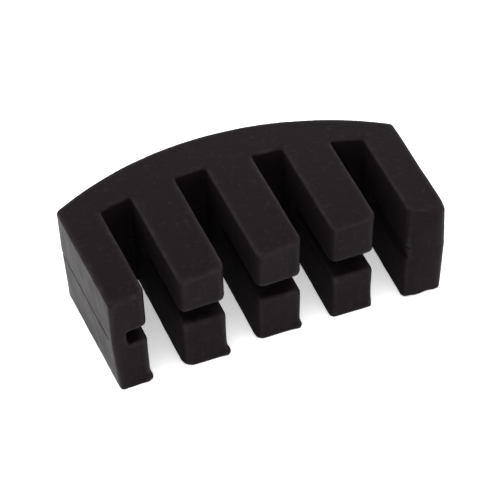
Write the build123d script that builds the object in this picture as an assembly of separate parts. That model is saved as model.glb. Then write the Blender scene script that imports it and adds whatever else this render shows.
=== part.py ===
"""Five-prong practice mute for a violin: one block of moulded rubber.

The mute lies on its broad face.  X runs across the prongs, Y from the prong tips to the arched
spine, Z up through the thickness.  The origin is under the middle of the block, on the face that
it rests on.  All sizes are in millimetres.
"""

from build123d import *
import os

# Driving dimensions of the block
OVERALL_WIDTH = 50.0        # across the two corners of the spine, at the parting plane
OVERALL_DEPTH = 27.0        # from the foremost prong's tip, the left one, to the top of the spine's arch
CORNER_DEPTH = 19.4         # from the foremost tip to the corners of the spine
THICKNESS = 16.0            # between the two flat faces
PARTING_HEIGHT = 8.6        # of the plane where the two mould halves met
WIDTH_TAPER = 0.0029        # share of the width that is lost per millimetre towards the tips
DRAFT_ANGLE = 0.6           # lean of every wall, from the parting plane to each face, in degrees
MOULD_STEP = 0.2            # the lower half stands in from the upper one by this, all round

# Prong tips, from left to right: depth of the tip where it crosses its prong's nominal middle,
# and how far its line is turned, in degrees
TIP_LINES = (
    (0.0, 0.0),
    (0.85, 2.0),
    (1.4, 1.0),
    (1.85, 1.0),
    (0.75, -10.0),
)
PRONG_COUNT = 5
RIGHT_FLARE = 0.9           # how far the right outer wall's tip stands out of the taper

# String gaps: open at the prong tips and right through the thickness
GAP_COUNT = PRONG_COUNT - 1
STRING_PITCH = 11.5         # between the middles of neighbouring gaps, level with the corners
GAP_WIDTH = 4.5             # of a gap in the upper half, level with the corners
GAP_ARCH_TOP = 20.2         # depth of the arc that closes the gaps, on the middle line
GAP_ARCH_EDGE = 16.9        # depth of the same arc at the outermost gap wall

# Bridge slot: across the tips, centred on the parting plane
SLOT_HEIGHT = 2.3
SLOT_LEFT = -22.7           # its closed end inside the left outer prong
SLOT_RIGHT = 20.2           # its closed end, a shallow nick in the right outer prong
SLOT_END_WALL = 4.0         # from the gaps' closed ends back to the slot's, along Y

# Rounding
TIP_CORNER_RADIUS = 0.8     # upright edges of the prong tips
SPINE_CORNER_RADIUS = 0.8   # upright edges at the two ends of the spine
RIM_RADIUS = 0.4            # edges of the two flat faces

OUTER_GAP_WALL = STRING_PITCH * (GAP_COUNT - 1) / 2 + GAP_WIDTH / 2
OVERSHOOT = 3.0             # how far a cutter runs past what it cuts


def spread(x, depth):
    """X at a depth from the tips of a wall that stands at x level with the spine's corners."""
    return x * (1 + WIDTH_TAPER * (depth - CORNER_DEPTH))


def block_face():
    """Outline of the block before the gaps are cut and the tips are set back."""
    half = OVERALL_WIDTH / 2
    left_tip = (spread(-half, 0), 0)
    right_tip = (spread(half, 0) + RIGHT_FLARE, 0)
    left_corner = (-half, CORNER_DEPTH)
    right_corner = (half, CORNER_DEPTH)
    sides = Polyline(right_corner, right_tip, left_tip, left_corner)
    spine = ThreePointArc(left_corner, (0, OVERALL_DEPTH), right_corner)
    face = make_face([spine] + sides.edges())
    corners = [v for v in face.vertices() if v.Y > CORNER_DEPTH / 2]
    return fillet(corners, SPINE_CORNER_RADIUS)


def arched_zone(setback):
    """Area in front of the arc that closes the gaps, moved towards the tips by a setback."""
    edge = GAP_ARCH_EDGE - setback
    top = GAP_ARCH_TOP - setback
    arc = ThreePointArc((-OUTER_GAP_WALL, edge), (0, top), (OUTER_GAP_WALL, edge))
    half = OVERALL_WIDTH
    front = Polyline(
        (OUTER_GAP_WALL, edge),
        (half, edge),
        (half, -OVERSHOOT),
        (-half, -OVERSHOOT),
        (-half, edge),
        (-OUTER_GAP_WALL, edge),
    )
    return make_face([arc] + front.edges())


def strip(left, right):
    """Area between two walls that spread towards the spine, given level with its corners."""
    near = -OVERSHOOT
    far = OVERALL_DEPTH + OVERSHOOT
    corners = [
        (spread(left, near), near),
        (spread(right, near), near),
        (spread(right, far), far),
        (spread(left, far), far),
    ]
    return make_face(Polyline(*corners, close=True))


def prong_limits(index):
    """X of the left and right wall of a prong, level with the spine's corners."""
    left = STRING_PITCH * (index - PRONG_COUNT / 2) + GAP_WIDTH / 2
    right = STRING_PITCH * (index + 1 - PRONG_COUNT / 2) - GAP_WIDTH / 2
    if index == 0:
        left = -OVERALL_WIDTH / 2 - OVERSHOOT
    if index == PRONG_COUNT - 1:
        right = OVERALL_WIDTH / 2 + OVERSHOOT
    return left, right


def comb_face():
    """Outline of the upper half on the parting plane: the spine and its five prongs."""
    face = block_face()
    gaps = arched_zone(0)
    for index in range(PRONG_COUNT):
        gaps -= strip(*prong_limits(index))
    face -= gaps
    for index, (depth, turn) in enumerate(TIP_LINES):
        middle = STRING_PITCH * (index - (PRONG_COUNT - 1) / 2)
        line = Pos(middle, depth) * Rot(0, 0, turn)
        tip_trim = line * Pos(0, -OVERALL_DEPTH / 2) * Rectangle(2 * OVERALL_WIDTH, OVERALL_DEPTH)
        face -= tip_trim & strip(*prong_limits(index))
    tip_corners = [v for v in face.vertices() if v.Y < CORNER_DEPTH / 2]
    return fillet(tip_corners, TIP_CORNER_RADIUS)


def half_block(face, height):
    """One half of the moulding, standing on the parting plane, with its flat face's rim rounded."""
    half = extrude(face, height, taper=DRAFT_ANGLE)
    if half.center().Z < 0:
        half = mirror(half, about=Plane.XY)
    rim = half.faces().sort_by(Axis.Z)[-1].edges()
    return fillet(rim, RIM_RADIUS)


def slot_cutter():
    """The bridge's space: open at the tips, closed by an arc that follows the gaps' ends."""
    opening = arched_zone(SLOT_END_WALL) & strip(SLOT_LEFT, SLOT_RIGHT)
    return extrude(opening, SLOT_HEIGHT / 2, both=True)


def mute_body():
    """The whole moulding, resting on Z = 0 with the middle of its depth at Y = 0."""
    upper_face = comb_face()
    lower_face = offset(upper_face, -MOULD_STEP)
    upper = half_block(upper_face, THICKNESS - PARTING_HEIGHT)
    lower = mirror(half_block(lower_face, PARTING_HEIGHT), about=Plane.XY)
    body = upper + lower
    body -= slot_cutter()
    return Pos(0, -OVERALL_DEPTH / 2, PARTING_HEIGHT) * body


os.makedirs("parts", exist_ok=True)
body = mute_body()
body.label = "mute_body"
export_step(body, "parts/mute_body.step")
print("mute_body", round(body.volume), "cubic millimetres")
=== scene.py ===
"""Looks of a five-prong practice mute for a violin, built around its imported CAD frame.

The moulding is one field of signed distances, in millimetres: outlines of the comb at four heights,
the bridge slot, rounded edges and the small faults of a rubber moulding.  One mesh is drawn through
its zero level.  Depth is measured along Y from the foremost prong tip to the arched spine.
"""

import math

import bpy
import numpy as np
from mathutils import Matrix, Vector


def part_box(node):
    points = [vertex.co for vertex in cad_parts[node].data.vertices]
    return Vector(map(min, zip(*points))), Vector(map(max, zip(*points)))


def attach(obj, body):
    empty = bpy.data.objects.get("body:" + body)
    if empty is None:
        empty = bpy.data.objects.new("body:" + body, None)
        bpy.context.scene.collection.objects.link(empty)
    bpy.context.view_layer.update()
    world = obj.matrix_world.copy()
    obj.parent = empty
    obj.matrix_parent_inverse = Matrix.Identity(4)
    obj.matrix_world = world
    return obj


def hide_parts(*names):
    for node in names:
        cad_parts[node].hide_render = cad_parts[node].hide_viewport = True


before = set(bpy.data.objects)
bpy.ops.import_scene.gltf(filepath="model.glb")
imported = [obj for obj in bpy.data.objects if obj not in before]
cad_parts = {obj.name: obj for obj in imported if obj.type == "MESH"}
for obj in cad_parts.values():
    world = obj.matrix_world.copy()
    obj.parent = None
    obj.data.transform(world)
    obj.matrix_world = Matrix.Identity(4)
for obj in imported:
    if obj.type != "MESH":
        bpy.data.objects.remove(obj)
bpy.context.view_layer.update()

MM = 0.001
low_corner, high_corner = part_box("mute_body")

# Sizes in millimetres, as in the CAD model
DEPTH = (high_corner.y - low_corner.y) / MM
THICKNESS = (high_corner.z - low_corner.z) / MM
PARTING = 8.6
CORNER_DEPTH = 19.4
WIDTH_TAPER = 0.0029
STRING_PITCH = 11.5
GAP_WIDTH = 4.5
GAP_ARCH_TOP = 20.2
GAP_ARCH_EDGE = 16.9
GAP_ARCH_REACH = 1.5 * STRING_PITCH + GAP_WIDTH / 2
SLOT_HEIGHT = 2.3
SLOT_LEFT = -22.7
SLOT_RIGHT = 20.2
SLOT_END_WALL = 4.0
PRONGS = 5
DRAFT = math.tan(math.radians(0.6))

# Where the moulded rubber differs from the CAD model
GAP_RIGHT_EXTRA = 0.65      # further reach of the rightmost gap's closed end
SLOT_TILT = -0.02           # rise of the slot for each millimetre to the right

# The two ends of the spine, which aren't quite the same distance from the middle line
SPINE_LEFT = -24.95
SPINE_RIGHT = 25.05

# Each prong at four levels, from the left outer prong to the right one: how far its left and right
# walls stand in from their nominal places, then the depth and the upright edge's radius of its left
# and of its right tip corner
TOP_PRONGS = [
    (0.0, -0.1, 0.1, 0.3, 0.8, 1.3),
    (0.0, 0.0, 0.5, 0.5, 1.1, 1.5),
    (0.0, -0.1, 1.05, 0.5, 1.9, 1.4),
    (0.0, -0.1, 2.2, 0.6, 2.3, 1.5),
    (0.0, -0.05, 2.1, 0.4, 0.3, 0.7),
]
UPPER_PRONGS = [
    (0.0, 0.1, 0.1, 0.3, 0.6, 0.9),
    (0.0, 0.2, 0.6, 1.1, 0.9, 0.8),
    (0.0, 0.1, 1.2, 1.3, 1.5, 0.8),
    (0.0, 0.1, 1.9, 1.3, 2.1, 0.8),
    (0.15, -0.9, 1.6, 0.5, 0.5, 0.9),
]
LOWER_PRONGS = [
    (0.0, 0.25, 0.1, 0.3, 0.6, 0.6),
    (0.15, 0.15, 0.9, 0.6, 1.0, 0.5),
    (0.15, 0.15, 1.4, 0.5, 1.4, 0.5),
    (0.15, 0.2, 1.6, 0.5, 1.7, 0.6),
    (0.15, -0.9, 1.6, 0.5, 0.5, 0.9),
]
BOTTOM_PRONGS = [
    (0.3, 0.2, -0.4, 0.5, -0.3, 1.0),
    (-0.05, 0.1, 0.1, 1.7, 0.15, 0.6),
    (-0.05, 0.1, 1.0, 1.2, 0.95, 0.5),
    (0.05, 0.15, 0.95, 0.9, 0.85, 0.3),
    (0.1, -1.1, 0.5, 0.9, 0.5, 0.6),
]
LOWER_SIDE_STEP = 0.05      # how far the lower half's spine and gap ends stand in

# Flash left outside the lower right corners of three prongs: how far it stands out
FLASH = (0.35, 0.5, 0.35)

# Faults of the moulding: how deep each of them is
GROOVE_DEPTH = 0.34         # of the parting line, round the outside
GROOVE_WIDTH = 0.17
LAST_PRONG_DENT = 0.45
FIRST_PRONG_SCUFF = 0.16
WALL_UNEVENNESS = 0.03
FACE_UNEVENNESS = 0.012

# Radii of rounded edges
GAP_END_RADIUS = 0.35       # upright corners of the gaps' closed ends
SPINE_CORNER_RADIUS = 0.9
SLOT_END_RADIUS = 1.0
TOP_RIM_RADIUS = 0.4
BOTTOM_RIM_RADIUS = 0.18
SLOT_MOUTH_RADIUS = 0.25

# How far the real spine stands in from the nominal one
SPINE_INSET = 0.12          # at the top of its arch
SPINE_END_INSET = 0.05      # at its two ends

CELL = 0.285                # spacing of the mesh across the block
ARC_STEP = 0.4              # spacing of the points along an outline's arcs


# ---------------------------------------------------------------- outlines

def ramp(value, start, end):
    """0 before start, 1 after end and smooth between."""
    t = np.clip((value - start) / (end - start), 0, 1)
    return t * t * (3 - 2 * t)


def spread(x, depth):
    """X at a depth of a wall that stands at x level with the spine's corners."""
    return x * (1 + WIDTH_TAPER * (depth - CORNER_DEPTH))


def arc_depth(x, reach, top, edge):
    """Depth at x of the arc that is top deep on the middle line and edge deep at x = reach."""
    sagitta = top - edge
    radius = (reach ** 2 + sagitta ** 2) / (2 * sagitta)
    return top - radius + math.sqrt(radius ** 2 - x ** 2)


def spine_depth(x):
    """Depth at x of the spine's arch, which runs from one end of the spine to the other."""
    middle = (SPINE_LEFT + SPINE_RIGHT) / 2
    reach = (SPINE_RIGHT - SPINE_LEFT) / 2
    return arc_depth(x - middle, reach, DEPTH - SPINE_INSET, CORNER_DEPTH - SPINE_END_INSET)


def gap_end_depth(x):
    """Depth of the gaps' closed ends, which reach a little further on the right."""
    arc = arc_depth(x, GAP_ARCH_REACH, GAP_ARCH_TOP, GAP_ARCH_EDGE)
    return arc + GAP_RIGHT_EXTRA * ramp(x, 0.0, GAP_ARCH_REACH)


def arc_points(first_x, last_x, depth_at):
    """Points strictly between two X along an arc, with no rounding of their own."""
    count = max(2, round(abs(last_x - first_x) / ARC_STEP))
    inner = [first_x + (last_x - first_x) * i / count for i in range(1, count)]
    return [(x, depth_at(x), 0.0) for x in inner]


def rounded(corners):
    """Closed outline through (x, depth, radius) corners, each turned on its own radius."""
    outline = []
    for i, (x, depth, radius) in enumerate(corners):
        corner = Vector((x, depth))
        if radius <= 0:
            outline.append(corner)
            continue
        before = Vector(corners[i - 1][:2]) - corner
        after = Vector(corners[(i + 1) % len(corners)][:2]) - corner
        before.normalize()
        after.normalize()
        half_angle = before.angle(after) / 2
        reach = radius / math.tan(half_angle)
        middle = corner + (before + after).normalized() * radius / math.sin(half_angle)
        start = corner + before * reach - middle
        turn = start.angle_signed(corner + after * reach - middle)
        steps = max(3, math.ceil(radius / 0.15))
        for k in range(steps + 1):
            angle = -turn * k / steps
            spoke = Matrix.Rotation(angle, 2) @ start
            outline.append(middle + spoke)
    return np.array(outline)


def prong_walls(index):
    """X of a prong's left and right wall, level with the spine's corners."""
    left = STRING_PITCH * (index - PRONGS / 2) + GAP_WIDTH / 2
    right = STRING_PITCH * (index + 1 - PRONGS / 2) - GAP_WIDTH / 2
    if index == 0:
        left = SPINE_LEFT
    if index == PRONGS - 1:
        right = SPINE_RIGHT
    return left, right


def comb_outline(prongs, step_in):
    """Outline at one level.  The spine and the gaps' ends stand in by step_in."""
    corners = []
    for index, prong in enumerate(prongs):
        left_in, right_in, left_depth, left_radius, right_depth, right_radius = prong
        left, right = prong_walls(index)
        left += left_in
        right -= right_in
        if index > 0:
            x = spread(left, GAP_ARCH_EDGE)
            corners.append((x, gap_end_depth(x) + step_in, GAP_END_RADIUS))
        corners.append((spread(left, left_depth), left_depth, left_radius))
        corners.append((spread(right, right_depth), right_depth, right_radius))
        if index < PRONGS - 1:
            x = spread(right, GAP_ARCH_EDGE)
            corners.append((x, gap_end_depth(x) + step_in, GAP_END_RADIUS))
            far_x = spread(prong_walls(index + 1)[0] + prongs[index + 1][0], GAP_ARCH_EDGE)
            corners += arc_points(x, far_x, lambda x: gap_end_depth(x) + step_in)
    right = SPINE_RIGHT - step_in
    left = SPINE_LEFT + step_in
    corners.append((right, CORNER_DEPTH - step_in, SPINE_CORNER_RADIUS))
    corners += arc_points(right, left, lambda x: spine_depth(x) - step_in)
    corners.append((left, CORNER_DEPTH - step_in, SPINE_CORNER_RADIUS))
    return rounded(corners)


def slot_outline():
    """Outline of the bridge slot, open past the prong tips."""
    front = -3.0
    left_end = gap_end_depth(SLOT_LEFT) - SLOT_END_WALL
    right_end = gap_end_depth(SLOT_RIGHT) - SLOT_END_WALL
    left_back = (spread(SLOT_LEFT, left_end), left_end, SLOT_END_RADIUS)
    right_back = (spread(SLOT_RIGHT, right_end), right_end, SLOT_END_RADIUS)
    corners = [left_back, (spread(SLOT_LEFT, front), front, 0.0)]
    corners += [(spread(SLOT_RIGHT, front), front, 0.0), right_back]
    corners += arc_points(right_back[0], left_back[0], lambda x: gap_end_depth(x) - SLOT_END_WALL)
    return rounded(corners)


# ---------------------------------------------------------------- distance field

def signed_distance(outline, grid_x, grid_y):
    """Distance of each grid point to a closed outline, negative inside it."""
    nearest = np.full(grid_x.shape, np.inf)
    inside = np.zeros(grid_x.shape, bool)
    for (ax, ay), (bx, by) in zip(outline, np.roll(outline, -1, axis=0)):
        run_x, run_y = bx - ax, by - ay
        length = run_x ** 2 + run_y ** 2
        if length == 0:
            continue
        from_x, from_y = grid_x - ax, grid_y - ay
        along = np.clip((from_x * run_x + from_y * run_y) / length, 0, 1)
        square = (from_x - along * run_x) ** 2 + (from_y - along * run_y) ** 2
        nearest = np.minimum(nearest, square)
        if ay != by:
            crosses = (ay > grid_y) != (by > grid_y)
            inside ^= crosses & (grid_x < ax + run_x * (grid_y - ay) / run_y)
    return np.where(inside, -1, 1) * np.sqrt(nearest)


def round_meet(a, b, radius):
    """Space common to two fields, with the edge where they meet rounded."""
    out_a = np.maximum(a + radius, 0)
    out_b = np.maximum(b + radius, 0)
    return np.minimum(np.maximum(a, b), -radius) + np.hypot(out_a, out_b)


def levels():
    """Heights of the mesh's layers: close together at edges, slot lips and the parting line."""
    slot_low = PARTING - SLOT_HEIGHT / 2
    slot_high = PARTING + SLOT_HEIGHT / 2
    bands = [
        (-0.3, 0.9, 0.12),
        (slot_low - 0.45, slot_low + 0.3, 0.14),
        (PARTING - 0.3, PARTING + 0.3, 0.06),
        (slot_high - 0.2, slot_high + 1.2, 0.16),
        (THICKNESS - 0.7, THICKNESS + 0.3, 0.1),
    ]
    heights = []
    for start, end, step in bands:
        if heights:
            gap = start - heights[-1]
            count = max(1, round(gap / 0.4))
            heights += [heights[-1] + gap * i / count for i in range(1, count)]
        count = round((end - start) / step)
        heights += [start + (end - start) * i / count for i in range(count + 1)]
    return np.array(heights)


def bump(value, width):
    """1 at 0, falling smoothly to nothing over a few widths."""
    return np.exp(-((value / width) ** 2))


def waves(x, y, z):
    """Slow unevenness of a rubber surface, about 1 at most."""
    first = np.sin(0.83 * x + 0.6) * np.sin(0.71 * y + 1.1 + 0.35 * z)
    second = np.sin(0.39 * x - 0.57 * y + 0.52 * z + 2.0)
    third = np.sin(1.9 * x + 0.4) * np.sin(1.7 * y - 0.9 * z + 0.7)
    return 0.4 * first + 0.35 * second + 0.25 * third


def moulding_field(xs, ys, zs):
    """The whole moulding as one field over the grid."""
    grid_x, grid_y = np.meshgrid(xs, ys, indexing="ij")

    def level(prongs, step_in):
        return signed_distance(comb_outline(prongs, step_in), grid_x, grid_y)[:, :, None]

    x = grid_x[:, :, None]
    y = grid_y[:, :, None]
    z = zs[None, None, :]
    up = np.clip((z - PARTING) / (THICKNESS - PARTING), 0, 1)
    down = np.clip((PARTING - z) / PARTING, 0, 1)
    upper = level(UPPER_PRONGS, 0.0) * (1 - up) + level(TOP_PRONGS, 0.0) * up
    lower = level(LOWER_PRONGS, LOWER_SIDE_STEP) * (1 - down)
    lower = lower + level(BOTTOM_PRONGS, LOWER_SIDE_STEP) * down
    above = ramp(z, PARTING - 0.06, PARTING + 0.06)
    walls = upper * above + lower * (1 - above)

    # Draft, the groove of the parting line round the outside, and slow unevenness
    walls = walls + DRAFT * np.abs(z - PARTING)
    outside = np.maximum(ramp(np.abs(x), 21.5, 22.5), ramp(y, 17.5, 19.0)) * ramp(y, 1.2, 2.4)
    walls = walls + GROOVE_DEPTH * bump(z - PARTING, GROOVE_WIDTH) * outside
    dent = bump(x - 18.3, 0.8) * bump(y - 1.8, 1.3) * bump(z - PARTING, 2.0)
    walls = walls + LAST_PRONG_DENT * dent
    uneven = waves(x, y, z)
    walls = walls + WALL_UNEVENNESS * uneven
    for index, amount in enumerate(FLASH):
        corner_x = spread(prong_walls(index)[1], 0) - 0.2
        near = bump(x - corner_x, 0.8) * bump(y - BOTTOM_PRONGS[index][4] - 0.3, 1.0)
        walls = walls - amount * near * bump(z - 0.6, 0.55)

    # The two flat faces: sharper edges under than above, and a ragged lower edge on the last prong
    ragged = ramp(x, 17.0, 19.0) * (1 - ramp(y, 1.5, 3.0)) * (0.12 + 0.12 * np.sin(2.3 * x + 0.5))
    faces = np.maximum(z - THICKNESS, ragged - z) + FACE_UNEVENNESS * (uneven + 1)
    scuff = bump(x + 21.4, 0.9) * bump(y - 0.2, 0.4) * bump(z - THICKNESS, 0.6)
    faces = faces + FIRST_PRONG_SCUFF * scuff
    soft_corner = ramp(x, 20.5, 23.0) * (1 - ramp(y, 0.8, 2.5))
    rim = np.where(z > PARTING, TOP_RIM_RADIUS + 0.5 * soft_corner, BOTTOM_RIM_RADIUS)
    body = round_meet(walls, faces, rim)

    # The slot, with a soft lip above and a crisper one below
    slot = signed_distance(slot_outline(), grid_x, grid_y)[:, :, None]
    slot_middle = PARTING + SLOT_TILT * (x + 5)
    opening = round_meet(slot, np.abs(z - slot_middle) - SLOT_HEIGHT / 2, SLOT_MOUTH_RADIUS)
    inner = ramp(x, -18.0, -16.0) * (1 - ramp(x, 15.0, 17.0))
    lip = np.where(z > PARTING, 0.5 + 0.5 * inner, 0.3 + 0.3 * inner)
    return round_meet(body, -opening, lip)


# ---------------------------------------------------------------- mesh through the zero level

def surface_net(field, axes):
    """Vertices and quads of the zero level of a field on a grid: one vertex in each cut cell."""
    solid = field < 0
    shape = np.array(field.shape)
    total = np.zeros(tuple(shape - 1) + (3,))
    count = np.zeros(tuple(shape - 1))
    cuts = []
    for axis in range(3):
        near = [slice(None)] * 3
        far = [slice(None)] * 3
        near[axis] = slice(None, -1)
        far[axis] = slice(1, None)
        near, far = tuple(near), tuple(far)
        cut = np.argwhere(solid[near] != solid[far])
        a = field[near][tuple(cut.T)]
        b = field[far][tuple(cut.T)]
        point = np.stack([axes[k][cut[:, k]] for k in range(3)], axis=1)
        step = np.diff(axes[axis])[cut[:, axis]]
        point[:, axis] += step * a / (a - b)
        others = [k for k in range(3) if k != axis]
        for first in (0, 1):
            for second in (0, 1):
                cell = cut.copy()
                cell[:, others[0]] -= first
                cell[:, others[1]] -= second
                np.add.at(total, tuple(cell.T), point)
                np.add.at(count, tuple(cell.T), 1)
        cuts.append((axis, others, cut, a < 0))
    used = count > 0
    number = np.full(used.shape, -1)
    number[used] = np.arange(used.sum())
    vertices = total[used] / count[used][:, None]
    quads = []
    for axis, others, cut, solid_first in cuts:
        ring = []
        for first, second in ((1, 1), (0, 1), (0, 0), (1, 0)):
            cell = cut.copy()
            cell[:, others[0]] -= first
            cell[:, others[1]] -= second
            ring.append(number[tuple(cell.T)])
        ring = np.stack(ring, axis=1)
        flip = solid_first if axis == 1 else ~solid_first
        ring[flip] = ring[flip][:, ::-1]
        quads.append(ring)
    return vertices, np.concatenate(quads)


def convexity(mesh):
    """How much each vertex stands out from its neighbours, in 1/mm, smoothed a little."""
    count = len(mesh.vertices)
    points = np.empty(count * 3)
    normals = np.empty(count * 3)
    ends = np.empty(len(mesh.edges) * 2, dtype=np.int64)
    mesh.vertices.foreach_get("co", points)
    mesh.vertices.foreach_get("normal", normals)
    mesh.edges.foreach_get("vertices", ends)
    points = points.reshape(-1, 3) / MM
    normals = normals.reshape(-1, 3)
    a, b = ends.reshape(-1, 2).T
    degree = np.bincount(a, minlength=count) + np.bincount(b, minlength=count)

    def neighbours(values):
        total = np.bincount(a, values[b], count) + np.bincount(b, values[a], count)
        return total / np.maximum(degree, 1)

    along = points[b] - points[a]
    length_square = np.maximum((along ** 2).sum(axis=1), 1e-6)
    rise_a = -(along * normals[a]).sum(axis=1) / length_square
    rise_b = (along * normals[b]).sum(axis=1) / length_square
    total = np.bincount(a, rise_a, count) + np.bincount(b, rise_b, count)
    result = total / np.maximum(degree, 1)
    for _ in range(6):
        result = 0.5 * result + 0.5 * neighbours(result)
    return result


def recess_shade(vertices, tips_y):
    """1 on the walls of the gaps and in the bridge slot, where the material paints shade, and 0
    elsewhere.
    """
    x, y, z = vertices.T
    y = y - tips_y
    result = np.zeros(len(x))
    for index in range(PRONGS - 1):
        left = spread(prong_walls(index)[1], y)
        right = spread(prong_walls(index + 1)[0], y)
        within = ramp(x, left - 0.45, left - 0.1) * (1 - ramp(x, right + 0.35, right + 0.6))
        result = np.maximum(result, within)
    result *= 1 - ramp(z, THICKNESS - 0.35, THICKNESS - 0.05)
    in_slot = 1 - ramp(np.abs(z - PARTING), SLOT_HEIGHT / 2 + 0.2, SLOT_HEIGHT / 2 + 0.5)
    in_slot = in_slot * ramp(y, 2.2, 3.5) * (1 - ramp(np.abs(x), 21.8, 22.3))
    result = np.maximum(result, in_slot)
    return result * (1 - ramp(y, GAP_ARCH_TOP + 0.5, GAP_ARCH_TOP + 1.0))


def build_moulding():
    """The mute's one mesh, in metres in the CAD frame."""
    margin = 0.8
    half = SPINE_RIGHT + margin
    xs = np.linspace(-half, half, round(2 * half / CELL) + 1)
    ys = np.linspace(-margin, DEPTH + margin, round((DEPTH + 2 * margin) / CELL) + 1)
    zs = levels()
    field = moulding_field(xs, ys, zs)
    vertices, quads = surface_net(field, (xs, ys, zs))
    vertices[:, 1] += low_corner.y / MM
    vertices[:, 2] += low_corner.z / MM
    mesh = bpy.data.meshes.new("rubber_moulding")
    mesh.from_pydata((vertices * MM).tolist(), [], quads.tolist())
    mesh.validate()
    mesh.shade_smooth()
    # Convexity of the edges: paler worn edges in the material, which also serve as a painted
    # highlight along them
    wear_and_highlight = np.clip(convexity(mesh) / 0.7, 0, 1)
    mesh.attributes.new("edge_wear_and_highlight", "FLOAT", "POINT").data.foreach_set("value", wear_and_highlight)
    # Mask of the gap walls and the slot, which the material darkens as painted shade and makes
    # rougher
    recess_shade_mask = recess_shade(vertices, low_corner.y / MM)
    mesh.attributes.new("recess_shade", "FLOAT", "POINT").data.foreach_set("value", recess_shade_mask)
    piece = bpy.data.objects.new("rubber_moulding", mesh)
    bpy.context.scene.collection.objects.link(piece)
    return piece


moulding = build_moulding()


# ---------------------------------------------------------------- materials

class Graph:
    """Short calls for building one material's nodes."""

    def __init__(self, name):
        self.material = bpy.data.materials.new(name)
        self.material.use_nodes = True
        self.tree = self.material.node_tree
        self.shader = self.tree.nodes["Principled BSDF"]
        self.place = self.add("ShaderNodeTexCoord").outputs["Object"]

    def add(self, kind, **values):
        node = self.tree.nodes.new(kind)
        for key, value in values.items():
            setattr(node, key, value)
        return node

    def feed(self, socket, value):
        if isinstance(value, bpy.types.NodeSocket):
            self.tree.links.new(value, socket)
        else:
            socket.default_value = value

    def noise(self, size, detail=2.0, stretch=(1, 1, 1)):
        """Noise whose features are about size millimetres across, longer where stretch is large."""
        scale = self.add("ShaderNodeMapping")
        self.feed(scale.inputs["Vector"], self.place)
        scale.inputs["Scale"].default_value = [1 / (size * MM * s) for s in stretch]
        node = self.add("ShaderNodeTexNoise")
        self.feed(node.inputs["Vector"], scale.outputs["Vector"])
        node.inputs["Scale"].default_value = 1
        node.inputs["Detail"].default_value = detail
        return node.outputs["Fac"]

    def math(self, operation, a, b):
        node = self.add("ShaderNodeMath", operation=operation)
        self.feed(node.inputs[0], a)
        self.feed(node.inputs[1], b)
        return node.outputs[0]

    def remap(self, value, low, high, new_low=0.0, new_high=1.0):
        """A value's range low to high, clamped, mapped to a new range."""
        node = self.add("ShaderNodeMapRange")
        self.feed(node.inputs["Value"], value)
        limits = {"From Min": low, "From Max": high, "To Min": new_low, "To Max": new_high}
        for key, limit in limits.items():
            node.inputs[key].default_value = limit
        return node.outputs["Result"]

    def mix(self, share, first, second):
        node = self.add("ShaderNodeMix", data_type="RGBA")
        self.feed(node.inputs["Factor"], share)
        self.feed(node.inputs["A"], first)
        self.feed(node.inputs["B"], second)
        return node.outputs["Result"]

    def bump(self, height, distance, below=None):
        node = self.add("ShaderNodeBump")
        node.inputs["Distance"].default_value = distance * MM
        self.feed(node.inputs["Height"], height)
        if below is not None:
            self.feed(node.inputs["Normal"], below)
        return node.outputs["Normal"]


def rubber_material():
    """Matt black rubber: faint mottling, dust, mould streaks down its walls, paler worn edges that
    also carry a painted highlight, and painted shade in the gaps and the slot.
    """
    g = Graph("black_rubber")
    wear_and_highlight = g.add("ShaderNodeAttribute", attribute_name="edge_wear_and_highlight").outputs["Fac"]
    normal = g.add("ShaderNodeSeparateXYZ")
    g.feed(normal.inputs["Vector"], g.add("ShaderNodeNewGeometry").outputs["Normal"])
    upright = g.remap(g.math("ABSOLUTE", normal.outputs["Z"], 0.0), 0.3, 0.7, 1.0, 0.0)
    recess_shade_mask = g.add("ShaderNodeAttribute", attribute_name="recess_shade").outputs["Fac"]

    mottle = g.noise(2.6, 3.0)
    colour = g.mix(mottle, (0.0024, 0.0014, 0.0019, 1), (0.0042, 0.0027, 0.0035, 1))
    scuffs = g.remap(g.noise(0.7, 4.0), 0.56, 0.74)
    colour = g.mix(g.math("MULTIPLY", scuffs, 0.3), colour, (0.02, 0.017, 0.018, 1))
    streaks = g.remap(g.noise(0.5, 2.0, (1, 1, 14)), 0.5, 0.72)
    streaks = g.math("MULTIPLY", streaks, upright)
    colour = g.mix(g.math("MULTIPLY", streaks, 0.08), colour, (0.022, 0.019, 0.021, 1))
    patches = g.remap(g.noise(1.6, 3.0), 0.3, 0.7, 0.35, 1.0)
    # Paler convex edges: real wear, and a painted highlight along the edges as well
    worn_and_highlit = g.math("MULTIPLY", g.remap(wear_and_highlight, 0.1, 0.8), patches)
    colour = g.mix(g.math("MULTIPLY", worn_and_highlit, 0.4), colour, (0.03, 0.025, 0.027, 1))
    specks = g.remap(g.noise(0.16, 1.0), 0.74, 0.8)
    colour = g.mix(g.math("MULTIPLY", specks, 0.35), colour, (0.05, 0.045, 0.046, 1))
    # Painted shade: the gap walls and the slot take a plain dark colour without the paler marks
    colour = g.mix(g.math("MULTIPLY", recess_shade_mask, 0.6), colour, (0.0045, 0.0032, 0.0038, 1))
    g.feed(g.shader.inputs["Base Color"], colour)

    rough = g.remap(mottle, 0.3, 0.7, 0.4, 0.48)
    rough = g.math("SUBTRACT", rough, g.math("MULTIPLY", worn_and_highlit, 0.05))
    rough = g.math("ADD", rough, g.math("MULTIPLY", recess_shade_mask, 0.5))
    g.feed(g.shader.inputs["Roughness"], rough)
    g.shader.inputs["IOR"].default_value = 1.134
    g.shader.inputs["Specular Tint"].default_value = (1.0, 0.86, 0.93, 1)

    skin = g.bump(g.noise(1.8, 2.0), 0.035)
    skin = g.bump(streaks, 0.006, skin)
    skin = g.bump(g.noise(0.13, 3.0), 0.006, skin)
    g.feed(g.shader.inputs["Normal"], skin)
    return g.material


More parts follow.
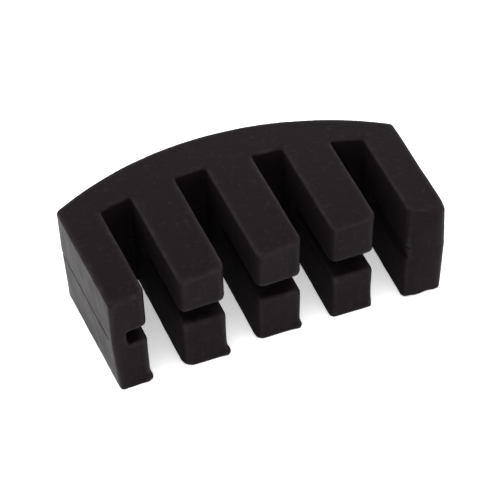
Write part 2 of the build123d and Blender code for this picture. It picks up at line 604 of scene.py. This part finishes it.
moulding.data.materials.append(rubber_material())
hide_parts("mute_body")
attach(moulding, "root")


# ---------------------------------------------------------------- stage, light and camera

def camera_axes(azimuth, elevation):
    """Right, up and backward directions of a camera that looks down at the object."""
    a, e = math.radians(azimuth), math.radians(elevation)
    back = Vector((math.sin(a) * math.cos(e), -math.cos(a) * math.cos(e), math.sin(e)))
    right = Vector((math.cos(a), math.sin(a), 0))
    return right, back.cross(right), back


def add_camera():
    """The camera, above the mute and in front of it on its left, aimed near its middle."""
    azimuth = -21.95
    elevation = 44.86
    distance = 166.52
    right, up, back = camera_axes(azimuth, elevation)
    aim = (Vector((0, -2.1, 7.1)) - right * 0.235 - up * 0.22) * MM
    data = bpy.data.cameras.new("camera")
    data.sensor_width = 36
    data.lens = 86.37
    data.clip_start = 0.01
    data.clip_end = 20
    camera = bpy.data.objects.new("camera", data)
    turn = Matrix((right, up, back)).transposed().to_4x4()
    camera.matrix_world = Matrix.Translation(aim + back * distance * MM) @ turn
    bpy.context.scene.collection.objects.link(camera)
    bpy.context.scene.camera = camera


def add_floor():
    """A white floor that glows a little, so that hardly any shadow shows between the prongs."""
    mesh = bpy.data.meshes.new("floor")
    reach = 1.5
    mesh.from_pydata(
        [(-reach, -reach, 0), (reach, -reach, 0), (reach, reach, 0), (-reach, reach, 0)],
        [],
        [(0, 1, 2, 3)],
    )
    floor = bpy.data.objects.new("floor", mesh)
    bpy.context.scene.collection.objects.link(floor)
    material = bpy.data.materials.new("floor_paper")
    material.use_nodes = True
    shader = material.node_tree.nodes["Principled BSDF"]
    shader.inputs["Base Color"].default_value = (0.9, 0.9, 0.9, 1)
    shader.inputs["Roughness"].default_value = 0.9
    shader.inputs["Emission Color"].default_value = (1, 1, 1, 1)
    shader.inputs["Emission Strength"].default_value = 0.3
    mesh.materials.append(material)


def add_area_light(name, place, size, power, colour):
    """A square lamp that faces the origin, with its place and size in metres."""
    data = bpy.data.lights.new(name, "AREA")
    data.color = colour
    data.size = size
    data.energy = power
    lamp = bpy.data.objects.new(name, data)
    lamp.location = place
    lamp.rotation_euler = (-Vector(place)).to_track_quat("-Z", "Y").to_euler()
    bpy.context.scene.collection.objects.link(lamp)


def add_lights():
    """An even white surround, and one soft light from behind on the left."""
    world = bpy.data.worlds.new("world")
    bpy.context.scene.world = world
    world.use_nodes = True
    background = world.node_tree.nodes["Background"]
    background.inputs["Color"].default_value = (1, 1, 1, 1)
    background.inputs["Strength"].default_value = 1.8
    add_area_light("left_softbox", (-0.5, 0.25, 0.5), 0.5, 1.25, (1.0, 0.9, 0.95))


add_camera()
add_floor()
add_lights()
bpy.context.scene.view_settings.view_transform = "Standard"
